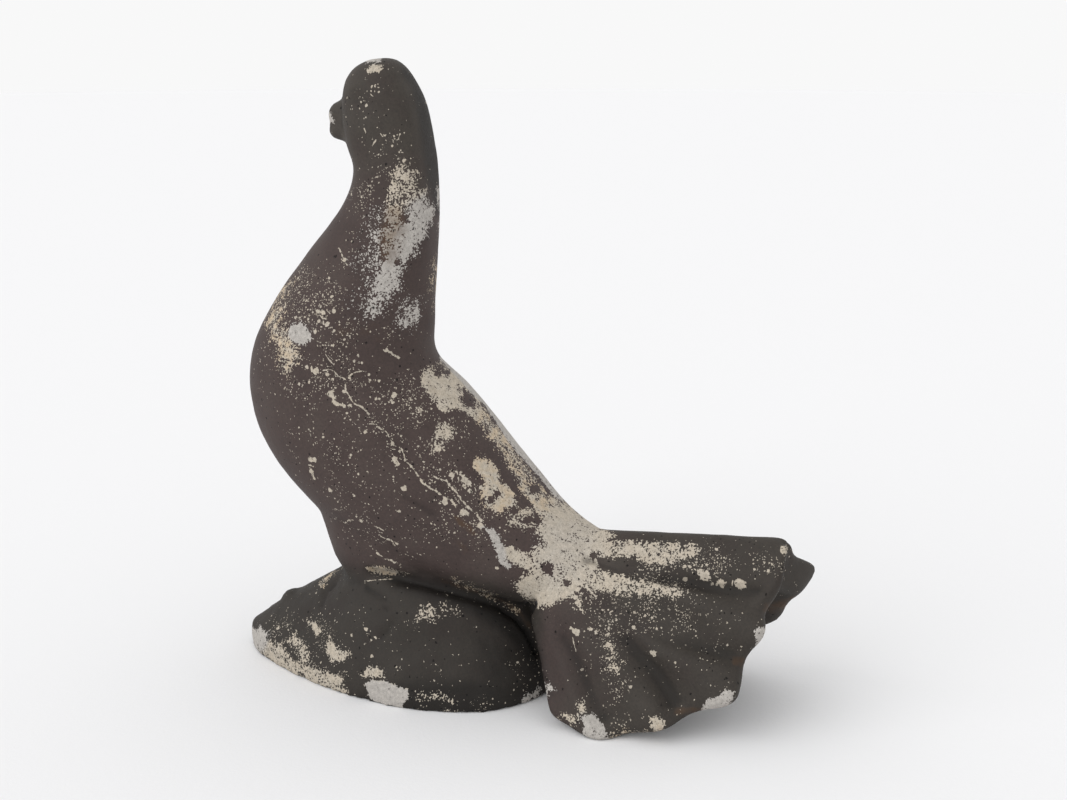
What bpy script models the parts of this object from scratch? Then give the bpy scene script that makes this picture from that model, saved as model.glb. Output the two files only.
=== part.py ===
"""Garden dove cast in one with its mound, as one closed solid.

The dove faces -Y, its left side is +X and +Z is up. The origin lies in the middle of
the mound's flat underside. The form is laid out on a grid that gives the whole statue
283 units of height, and every size below that isn't in metres is counted in them.
"""

import math

import bpy
import bmesh
from mathutils import Matrix, Vector, noise

# Driving size: the height of the statue from the ground to the crown, in metres.
HEIGHT = 0.283
UNITS_TALL = 283.0
UNIT = HEIGHT / UNITS_TALL

# Name of the piece, and how it is fused from its rough shapes.
NODE = "dove_statue"
CELL = 1.7
SOFTENING_STEPS = 5
SOFTENING_SHARE = 0.5
TRIANGLES = 9400
GROUND_DEPTH = 8.0

# Cross sections of head, neck and body, crown first. Each row holds the front point
# and the back point in the middle plane as y, z, y, z, then the half width, then how
# square the section is in front and behind (2 is an ellipse).
BODY = (
    (-12.0, 282.6, -4.0, 283.4, 6.0, 2.0, 2.0),
    (-18.2, 280.0, 1.2, 281.0, 11.0, 2.0, 2.2),
    (-23.4, 274.0, 5.7, 275.0, 15.0, 2.0, 2.6),
    (-25.4, 265.0, 10.5, 265.0, 17.0, 2.0, 3.0),
    (-25.4, 255.0, 12.8, 254.0, 17.4, 2.0, 3.4),
    (-23.7, 245.0, 14.6, 243.0, 17.0, 2.0, 3.6),
    (-20.7, 236.0, 15.6, 232.0, 17.0, 2.0, 3.6),
    (-23.5, 225.0, 15.9, 218.0, 18.0, 2.0, 3.4),
    (-31.5, 213.0, 15.6, 204.0, 20.5, 2.0, 2.6),
    (-45.5, 196.0, 15.0, 188.0, 25.5, 2.0, 2.1),
    (-60.0, 177.0, 14.0, 169.0, 31.5, 2.0, 1.9),
    (-71.5, 157.0, 14.6, 150.0, 36.5, 2.0, 1.85),
    (-75.5, 136.0, 32.0, 135.0, 39.5, 2.0, 1.85),
    (-70.5, 112.0, 51.0, 111.0, 40.5, 2.0, 2.2),
    (-54.0, 89.0, 65.0, 95.0, 39.5, 2.0, 2.3),
    (-31.0, 70.0, 76.0, 84.0, 37.0, 2.0, 2.3),
    (-4.0, 56.0, 86.0, 77.0, 33.0, 2.0, 2.3),
    (30.0, 47.0, 94.0, 73.5, 29.0, 2.0, 2.2),
    (58.0, 41.0, 100.0, 72.0, 24.0, 2.0, 2.1),
    (74.0, 46.0, 103.0, 71.0, 17.0, 2.0, 2.0),
)

# The block of thighs and feet that joins the belly to the mound, top first.
THIGHS = (
    (-42.0, 82.0, 42.0, 84.0, 34.0, 2.2, 2.0),
    (-38.0, 68.0, 38.0, 68.0, 31.5, 2.3, 2.0),
    (-34.5, 57.0, 32.0, 57.0, 29.0, 2.3, 2.0),
    (-28.0, 46.0, 24.0, 48.0, 26.0, 2.3, 2.0),
    (-25.0, 34.0, 18.0, 36.0, 24.0, 2.2, 2.0),
)

# Outline of the mound on the ground, as x, y, from its front tip round by the left side.
MOUND_OUTLINE = (
    (0.5, -84.0),
    (14.5, -74.0),
    (27.5, -53.0),
    (39.0, -28.0),
    (45.5, -4.0),
    (48.0, 20.0),
    (43.0, 46.0),
    (31.5, 62.5),
    (10.0, 74.0),
    (-12.0, 74.0),
    (-31.5, 63.0),
    (-43.0, 46.0),
    (-46.0, 20.0),
    (-44.0, -6.0),
    (-36.0, -30.0),
    (-27.0, -54.0),
    (-14.0, -75.0),
)
MOUND_PEAK = (0.0, 3.0)
MOUND_TOP = 61.0
MOUND_RIM = 5.5
MOUND_RIM_FRONT = 12.0
MOUND_FALL_FRONT = 1.35
MOUND_FALL_SIDE = 3.6
MOUND_FALL_BACK = 3.6
MOUND_LUMP = 1.3
MOUND_LUMP_SIZE = 17.0
MOUND_LUMP_AT_RIM = 0.3

# Knob of cement on the front of the mound: its middle and half sizes.
KNOB = ((1.0, -60.0, 25.0), (6.0, 7.0, 6.0))

# Feathers of the fanned tail from the far edge over the middle to the near edge: where
# each one leaves the rump and where its rounded end lies, as x, y, z.
TAIL_ROOTS = (
    (-21.0, 66.0, 41.0),
    (-25.0, 71.0, 48.0),
    (-25.5, 77.0, 57.0),
    (-22.0, 82.0, 66.0),
    (-14.0, 87.0, 72.5),
    (0.0, 88.0, 77.0),
    (8.0, 88.0, 75.5),
    (15.0, 86.0, 72.0),
    (22.0, 82.0, 66.0),
    (25.5, 77.0, 57.0),
    (25.0, 71.0, 48.0),
    (21.0, 66.0, 41.0),
)
TAIL_TIPS = (
    (-46.0, 86.0, 9.0),
    (-52.0, 108.0, 3.0),
    (-49.0, 136.0, 10.0),
    (-41.0, 170.0, 33.0),
    (-26.0, 189.5, 61.5),
    (0.0, 180.5, 84.0),
    (18.0, 179.0, 66.0),
    (30.0, 174.0, 51.0),
    (42.0, 164.0, 22.5),
    (49.0, 134.0, 8.5),
    (52.5, 106.0, 1.0),
    (47.0, 84.0, 8.5),
)
# How deep the valley between each two neighbours is, as a share of the deepest.
TAIL_VALLEYS = (0.4, 0.7, 0.8, 0.9, 0.7, 0.0, 1.0, 0.9, 0.9, 0.7, 0.4)
TAIL_MIDDLE = 5.0
TAIL_THICK = 10.0
TAIL_CORE = 12.0
TAIL_CORE_SPREAD = 2.0
TAIL_CORE_INSET = 0.012
TAIL_FLUTE = 6.0
TAIL_FLUTE_BELOW = 0.5
TAIL_SCALLOP = 0.06
TAIL_STEPS = 8
FEATHER_STEP = 0.05

# The worn stump of the beak: middle and half sizes of its upper and lower lobe.
BEAK_LOBES = (
    ((0.0, -27.0, 258.6), (6.2, 6.6, 6.6)),
    ((0.0, -27.0, 251.4), (5.6, 7.0, 4.6)),
)

# Hollow of the eye on the left side, mirrored to the right: middle and half sizes.
EYE_MIDDLE = (20.3, -13.0, 266.0)
EYE_HALF = (6.5, 9.5, 7.5)

# Lower edge of the folded wings as y, z, and how far they stand out from the flanks.
WING_EDGE = (
    (-30.0, 170.0),
    (-25.0, 159.0),
    (-12.0, 143.0),
    (10.0, 120.0),
    (33.0, 98.0),
    (54.0, 88.0),
    (90.0, 76.0),
)
WING_RELIEF = 1.8
WING_EDGE_WIDTH = 9.0
WING_TOP = 150.0
WING_FADE = 22.0

# Paint over cement as one plain coat: colour, roughness and metallic.
COAT_COLOUR = (0.075, 0.062, 0.053, 1.0)
COAT_ROUGHNESS = 0.72
COAT_METALLIC = 0.0
SHARP_ANGLE_DEG = 50.0

RING_POINTS = 56
BETWEEN_STATIONS = 5
SPOKES = 72
MOUND_RINGS = 16
FEATHER_COLUMNS = 8


def curve_point(rows, position, closed=False):
    """Return the row at a position along a smooth curve through all the rows."""
    count = len(rows)
    first = int(math.floor(position))
    if not closed:
        first = min(max(first, 0), count - 2)
    part = position - first

    def row(index):
        if closed:
            return rows[index % count]
        return rows[min(max(index, 0), count - 1)]

    before, start, end, after = row(first - 1), row(first), row(first + 1), row(first + 2)
    values = []
    for a, b, c, d in zip(before, start, end, after):
        bend = 2.0 * a - 5.0 * b + 4.0 * c - d
        twist = 3.0 * (b - c) + d - a
        values.append(b + 0.5 * part * (c - a + part * (bend + part * twist)))
    return values


def soft_step(value):
    """Rise smoothly from 0 to 1 while the value runs from 0 to 1."""
    value = min(max(value, 0.0), 1.0)
    return value * value * (3.0 - 2.0 * value)


def wing_relief(y, z):
    """Return how far the folded wing stands out at this place of the side."""
    for (start_y, start_z), (end_y, end_z) in zip(WING_EDGE, WING_EDGE[1:]):
        if start_y <= y <= end_y:
            edge_z = start_z + (end_z - start_z) * (y - start_y) / (end_y - start_y)
            inside = soft_step((z - edge_z) / WING_EDGE_WIDTH)
            below_neck = 1.0 - soft_step((z - WING_TOP) / WING_FADE)
            before_tail = soft_step((WING_EDGE[-1][0] - y) / WING_FADE)
            return WING_RELIEF * inside * below_neck * before_tail
    return 0.0


def section_ring(front_y, front_z, back_y, back_z, half_width, front_power, back_power):
    """Return one closed cross section that runs through its front and back points."""
    front = Vector((0.0, front_y, front_z))
    back = Vector((0.0, back_y, back_z))
    middle = (front + back) / 2.0
    reach = (front - back) / 2.0
    ring = []
    for index in range(RING_POINTS):
        angle = 2.0 * math.pi * index / RING_POINTS
        along, across = math.cos(angle), math.sin(angle)
        behind = (1.0 - along) / 2.0
        power = front_power + (back_power - front_power) * behind
        size = (abs(along) ** power + abs(across) ** power) ** (-1.0 / power)
        point = middle + reach * (along * size)
        half = half_width + wing_relief(point.y, point.z)
        ring.append(point + Vector((half * across * size, 0.0, 0.0)))
    return ring


def link_work(work, name, collection):
    """Turn a finished working mesh into a linked object with its normals outward."""
    bmesh.ops.recalc_face_normals(work, faces=work.faces)
    mesh = bpy.data.meshes.new(name)
    work.to_mesh(mesh)
    work.free()
    made = bpy.data.objects.new(name, mesh)
    collection.objects.link(made)
    return made


def mesh_object(name, points, faces, collection):
    """Make an object from points in units and faces between them."""
    work = bmesh.new()
    corners = [work.verts.new(Vector(point) * UNIT) for point in points]
    for face in faces:
        work.faces.new([corners[index] for index in face])
    return link_work(work, name, collection)


def loft(name, stations, collection):
    """Skin a closed form over smooth cross sections between the given ones."""
    points = []
    faces = []
    ring_total = (len(stations) - 1) * BETWEEN_STATIONS + 1
    for step in range(ring_total):
        points.extend(section_ring(*curve_point(stations, step / BETWEEN_STATIONS)))
    for step in range(ring_total - 1):
        low = step * RING_POINTS
        high = low + RING_POINTS
        for index in range(RING_POINTS):
            after = (index + 1) % RING_POINTS
            faces.append((low + index, low + after, high + after, high + index))
    faces.append(tuple(range(RING_POINTS)))
    faces.append(tuple(range(len(points) - RING_POINTS, len(points))))
    return mesh_object(name, points, faces, collection)


def make_mound(collection):
    """Make the rough leaf shaped mound, reaching below the ground to be cut flat."""
    peak_x, peak_y = MOUND_PEAK
    points = [(peak_x, peak_y, MOUND_TOP)]
    faces = []
    for ring in range(1, MOUND_RINGS + 1):
        share = ring / MOUND_RINGS
        for spoke in range(SPOKES):
            place = spoke * len(MOUND_OUTLINE) / SPOKES
            rim_x, rim_y = curve_point(MOUND_OUTLINE, place, closed=True)
            reach_x, reach_y = rim_x - peak_x, rim_y - peak_y
            lengthwise = reach_y ** 2 / (reach_x ** 2 + reach_y ** 2)
            in_front = rim_y < peak_y
            end_fall = MOUND_FALL_FRONT if in_front else MOUND_FALL_BACK
            end_rim = MOUND_RIM_FRONT if in_front else MOUND_RIM
            fall = MOUND_FALL_SIDE + (end_fall - MOUND_FALL_SIDE) * lengthwise
            rim = MOUND_RIM + (end_rim - MOUND_RIM) * lengthwise ** 2
            height = rim + (MOUND_TOP - rim) * (1.0 - share ** fall)
            x = peak_x + reach_x * share
            y = peak_y + reach_y * share
            lump = noise.noise(Vector((x, y, height)) / MOUND_LUMP_SIZE) * MOUND_LUMP
            points.append((x, y, height + lump * min(1.0, 2.0 * (1.0 - share) + MOUND_LUMP_AT_RIM)))
    outer = len(points) - SPOKES
    for spoke in range(SPOKES):
        x, y, height = points[outer + spoke]
        points.append((x, y, -GROUND_DEPTH))
    for spoke in range(SPOKES):
        after = (spoke + 1) % SPOKES
        faces.append((0, 1 + spoke, 1 + after))
        for ring in range(MOUND_RINGS):
            low = 1 + ring * SPOKES
            high = low + SPOKES
            faces.append((low + spoke, high + spoke, high + after, low + after))
    faces.append(tuple(range(len(points) - SPOKES, len(points))))
    return mesh_object("mound", points, faces, collection)


def tail_point(feather, along):
    """Return a point of the tail's upper side; feather and along run from 0."""
    root = Vector(curve_point(TAIL_ROOTS, feather))
    tip = Vector(curve_point(TAIL_TIPS, feather))
    gap = min(int(feather), len(TAIL_VALLEYS) - 1)
    scallop = TAIL_VALLEYS[gap] * (1.0 - math.cos(2.0 * math.pi * feather)) / 2.0
    reach = along * (1.0 - TAIL_SCALLOP * scallop)
    return root.lerp(tip, reach), scallop


def make_tail(collection):
    """Make the fanned tail: a fluted sheet of feathers drooping to both sides."""
    last = len(TAIL_TIPS) - 1
    columns = last * FEATHER_COLUMNS
    upper, lower = [], []
    for column in range(columns + 1):
        feather = column / FEATHER_COLUMNS
        for step in range(TAIL_STEPS + 1):
            along = step / TAIL_STEPS
            point, scallop = tail_point(feather, along)
            nearer = tail_point(min(feather + FEATHER_STEP, last), along)[0]
            farther = tail_point(max(feather - FEATHER_STEP, 0.0), along)[0]
            lengthwise = tail_point(feather, 1.0)[0] - tail_point(feather, 0.0)[0]
            normal = (nearer - farther).cross(lengthwise).normalized()
            flute = TAIL_FLUTE * scallop * along
            core = TAIL_CORE * soft_step(1.0 - abs(feather - TAIL_MIDDLE) / TAIL_CORE_SPREAD)
            depth = TAIL_THICK + core + flute * TAIL_FLUTE_BELOW
            below = tail_point(feather, along * (1.0 - TAIL_CORE_INSET * core))[0]
            upper.append(point - normal * flute)
            lower.append(below - normal * depth)
    rows = TAIL_STEPS + 1
    points = upper + lower
    start = len(upper)
    faces = []
    for column in range(columns):
        for step in range(TAIL_STEPS):
            a = column * rows + step
            faces.append((a, a + 1, a + rows + 1, a + rows))
            faces.append((start + a, start + a + rows, start + a + rows + 1, start + a + 1))
        tip = column * rows + TAIL_STEPS
        faces.append((tip, start + tip, start + tip + rows, tip + rows))
        root = column * rows
        faces.append((root, root + rows, start + root + rows, start + root))
    for step in range(TAIL_STEPS):
        far = step
        faces.append((far, start + far, start + far + 1, far + 1))
        near = columns * rows + step
        faces.append((near, near + 1, start + near + 1, start + near))
    return mesh_object("tail", points, faces, collection)


def make_ball(name, middle, half_sizes, collection):
    """Make a stretched ball."""
    work = bmesh.new()
    bmesh.ops.create_icosphere(work, subdivisions=4, radius=1.0)
    place = Matrix.Translation(Vector(middle) * UNIT)
    stretch = Matrix.Diagonal((*(Vector(half_sizes) * UNIT), 1.0))
    bmesh.ops.transform(work, matrix=place @ stretch, verts=work.verts)
    return link_work(work, name, collection)


def make_ground(collection):
    """Make the block of ground that cuts the underside flat."""
    work = bmesh.new()
    bmesh.ops.create_cube(work, size=2.0 * HEIGHT)
    bmesh.ops.translate(work, vec=(0.0, 0.0, -HEIGHT), verts=work.verts)
    return link_work(work, "ground", collection)


def set_cutter(cutter):
    """Keep a cutter out of the render and show it as wire."""
    cutter.hide_render = True
    cutter.display_type = "WIRE"


def apply_modifiers(target):
    """Turn the modifiers of an object into plain mesh."""
    depsgraph = bpy.context.evaluated_depsgraph_get()
    mesh = bpy.data.meshes.new_from_object(target.evaluated_get(depsgraph))
    target.modifiers.clear()
    target.data = mesh


def fuse(target, others):
    """Fuse overlapping shapes into one closed skin with soft joints."""
    work = bmesh.new()
    work.from_mesh(target.data)
    for other in others:
        work.from_mesh(other.data)
        bpy.data.objects.remove(other)
    work.to_mesh(target.data)
    work.free()
    remesh = target.modifiers.new("fuse", "REMESH")
    remesh.mode = "VOXEL"
    remesh.voxel_size = CELL * UNIT
    remesh.use_smooth_shade = True
    apply_modifiers(target)


def cut(target, cutter):
    """Take the cutter's space away from the target."""
    set_cutter(cutter)
    boolean = target.modifiers.new("cut", "BOOLEAN")
    boolean.operation = "DIFFERENCE"
    boolean.solver = "EXACT"
    boolean.object = cutter
    apply_modifiers(target)


def soften_and_thin(target):
    """Round the cast joints and thin the skin to the triangles it needs."""
    smooth = target.modifiers.new("soften", "SMOOTH")
    smooth.factor = SOFTENING_SHARE
    smooth.iterations = SOFTENING_STEPS
    thin = target.modifiers.new("thin", "DECIMATE")
    thin.decimate_type = "COLLAPSE"
    thin.ratio = min(1.0, TRIANGLES / sum(len(face.vertices) - 2 for face in target.data.polygons))
    apply_modifiers(target)


def coat():
    """Make the plain dark coat of the whole statue."""
    material = bpy.data.materials.new("painted_cement")
    material.use_nodes = True
    shader = material.node_tree.nodes["Principled BSDF"]
    shader.inputs["Base Color"].default_value = COAT_COLOUR
    shader.inputs["Roughness"].default_value = COAT_ROUGHNESS
    shader.inputs["Metallic"].default_value = COAT_METALLIC
    material.diffuse_color = COAT_COLOUR
    return material


def build():
    """Build the statue and its cutters."""
    for old in list(bpy.data.objects):
        bpy.data.objects.remove(old)
    parts = bpy.data.collections.new("dove statue")
    cutters = bpy.data.collections.new("cutters")
    bpy.context.scene.collection.children.link(parts)
    bpy.context.scene.collection.children.link(cutters)

    statue = loft(NODE, BODY, parts)
    shapes = [loft("thighs", THIGHS, parts), make_mound(parts), make_tail(parts)]
    for index, (middle, half_sizes) in enumerate(BEAK_LOBES):
        shapes.append(make_ball(f"beak_{index}", middle, half_sizes, parts))
    shapes.append(make_ball("knob", *KNOB, parts))
    fuse(statue, shapes)

    for side in (1.0, -1.0):
        middle = (EYE_MIDDLE[0] * side, EYE_MIDDLE[1], EYE_MIDDLE[2])
        cut(statue, make_ball("eye_hollow", middle, EYE_HALF, cutters))
    soften_and_thin(statue)
    cut(statue, make_ground(cutters))

    statue.data.materials.clear()
    statue.data.materials.append(coat())
    for face in statue.data.polygons:
        face.material_index = 0
    statue.data.set_sharp_from_angle(angle=math.radians(SHARP_ANGLE_DEG))
    statue.data.name = NODE


build()
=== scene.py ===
import math

import bmesh
import bpy
import numpy as np
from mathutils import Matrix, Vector
from mathutils.bvhtree import BVHTree


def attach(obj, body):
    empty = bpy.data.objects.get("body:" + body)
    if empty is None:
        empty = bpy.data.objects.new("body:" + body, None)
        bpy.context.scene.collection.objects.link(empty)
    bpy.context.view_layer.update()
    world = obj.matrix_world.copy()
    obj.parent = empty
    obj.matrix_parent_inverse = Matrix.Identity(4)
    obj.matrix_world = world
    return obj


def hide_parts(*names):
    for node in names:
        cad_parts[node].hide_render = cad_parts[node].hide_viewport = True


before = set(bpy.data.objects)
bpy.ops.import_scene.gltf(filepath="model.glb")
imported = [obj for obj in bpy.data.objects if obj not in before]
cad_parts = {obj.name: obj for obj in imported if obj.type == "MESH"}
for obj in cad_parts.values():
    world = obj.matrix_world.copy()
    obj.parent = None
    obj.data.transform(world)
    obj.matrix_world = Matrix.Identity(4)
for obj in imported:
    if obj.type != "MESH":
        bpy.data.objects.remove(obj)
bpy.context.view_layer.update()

bl_info = {
    "name": "Weathered dove statue",
    "version": (1, 0, 0),
    "blender": (4, 5, 0),
    "location": "View3D > Sidebar > Dove",
    "description": "Dresses the cast dove and its mound in worn paint, and sets the studio",
    "category": "Object",
}

NODE = "dove_statue"

# The kinds of node that are used most.
MATH = "ShaderNodeMath"
RANGE = "ShaderNodeMapRange"
MIX = "ShaderNodeMix"

# A millimetre, and a distance that is beyond the reach of every mark, in metres.
MM = 0.001
FAR = 0.05

# The photograph's frame and the camera that took it, in metres, millimetres and pixels.
PHOTO_WIDTH = 1067
PHOTO_HEIGHT = 800
CAMERA_PLACE = (0.6087, 0.2598, 0.300)
CAMERA_AIM = (0.0, 0.062, 0.135)
LENS_MM = 50.0
SENSOR_MM = 36.0
PIXELS_PER_MM = 2.4

# The direction that the main light comes from.
KEY_FROM = (0.7, -0.6, 0.65)

# How much of the seen wear the unseen side has, and its share of flecks.
UNSEEN_WEAR = 0.75
UNSEEN_FLECKS = 0.06

# The share of flecks between the flecked places.
FLECKS_ELSEWHERE = 0.015

# How far around its size a mark may still bend, in metres.
MARK_FENCE = 0.0015

# How far the unseen side's wear strays from the seen side's, in pixels, and in what waves.
STRAY_PIXELS = 9.0
STRAY_WAVE_MM = 11.0

# How far below its surroundings a hollow starts and ends to be painted in shade, in metres.
HOLLOW_LIFT = (0.00012, 0.0007)

# How far off the skin a ray starts that looks for what hides it, in metres.
RAY_LIFT = 0.0012

# Where the coat turns greyer: up the neck, along the tail, and down into the mound with
# the width of that change, in metres. Low on the mound the coat is also painted darker as painted shade.
OLIVE_HEAD = (0.205, 0.262)
OLIVE_TAIL = (0.07, 0.125)
MOUND_TOP = (0.066, 0.02)
MOUND_REAR = (0.080, 0.01)

# Slow waves of the cast skin and lumps of the mound's crust: size in metres, detail, roughness.
CAST_WAVES = {"Undulation": (0.018, 2.0, 0.5), "Crust": (0.009, 4.0, 0.6)}

# Noise patterns of the coat: size in metres, detail, roughness, and whether they are bent.
NOISES = {
    "flakes": (0.0045, 3.0, 0.6, True),
    "crumbs": (0.0015, 2.0, 0.6, True),
    "fine": (0.00075, 1.0, 0.5, False),
    "drift": (0.024, 3.0, 0.55, False),
    "crowd": (0.011, 2.0, 0.5, False),
    "mottle": (0.02, 4.0, 0.6, False),
    "specks": (0.0011, 4.0, 0.7, False),
}
BEND_SIZE = 0.0012
BEND_REACH = 0.0013

# Flecks: cell in metres, least radius and what chance adds in cells, and how often.
FLECKS = ((0.0026, 0.08, 0.22, 0.75), (0.0013, 0.12, 0.2, 1.0), (0.0008, 0.16, 0.2, 1.0))
PINHOLE_CELLS = (0.0055, 0.0036)

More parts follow.
